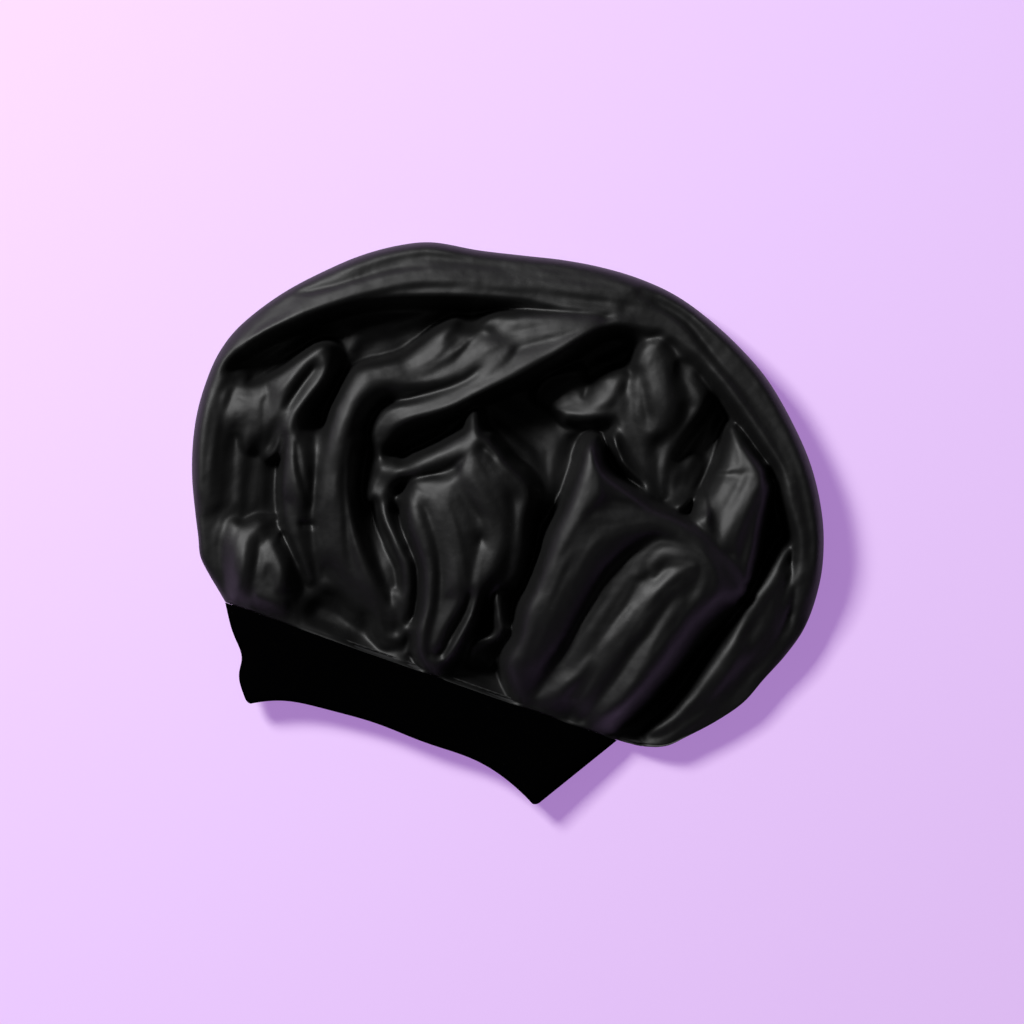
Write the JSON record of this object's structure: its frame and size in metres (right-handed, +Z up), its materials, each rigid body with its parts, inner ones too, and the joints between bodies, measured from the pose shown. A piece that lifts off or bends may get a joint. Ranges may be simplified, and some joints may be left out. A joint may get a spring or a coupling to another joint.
{
  "type": "hair bonnet",
  "caption": "Soft satin hair bonnet lying flat, its gathered crown puffed round the rim and folded in the middle, on a wide stretch knit band.",
  "frame": {"origin": "middle of the box that the bonnet fills, on the surface it lies on", "axes": "+Z up off the surface, +X along the band to the wearer's side at the picture's right, +Y from the band's mouth to the far rim of the crown"},
  "size_m": [0.3712, 0.3043, 0.0705],
  "materials": {
    "satin": "black satin weave with a soft sheen",
    "lining": "black satin, duller reverse side outwards",
    "knit": "matt black stretch knit",
    "elastic": "woven elastic tape",
    "thread": "spun polyester thread"
  },
  "bodies": {
    "root": {"satin_crown": "satin", "crown_lining": "lining", "stretch_band": "knit", "band_elastic": "elastic", "join_seam": "thread", "gather_thread": "thread", "band_back_seam": "thread"}
  },
  "joints": []
}
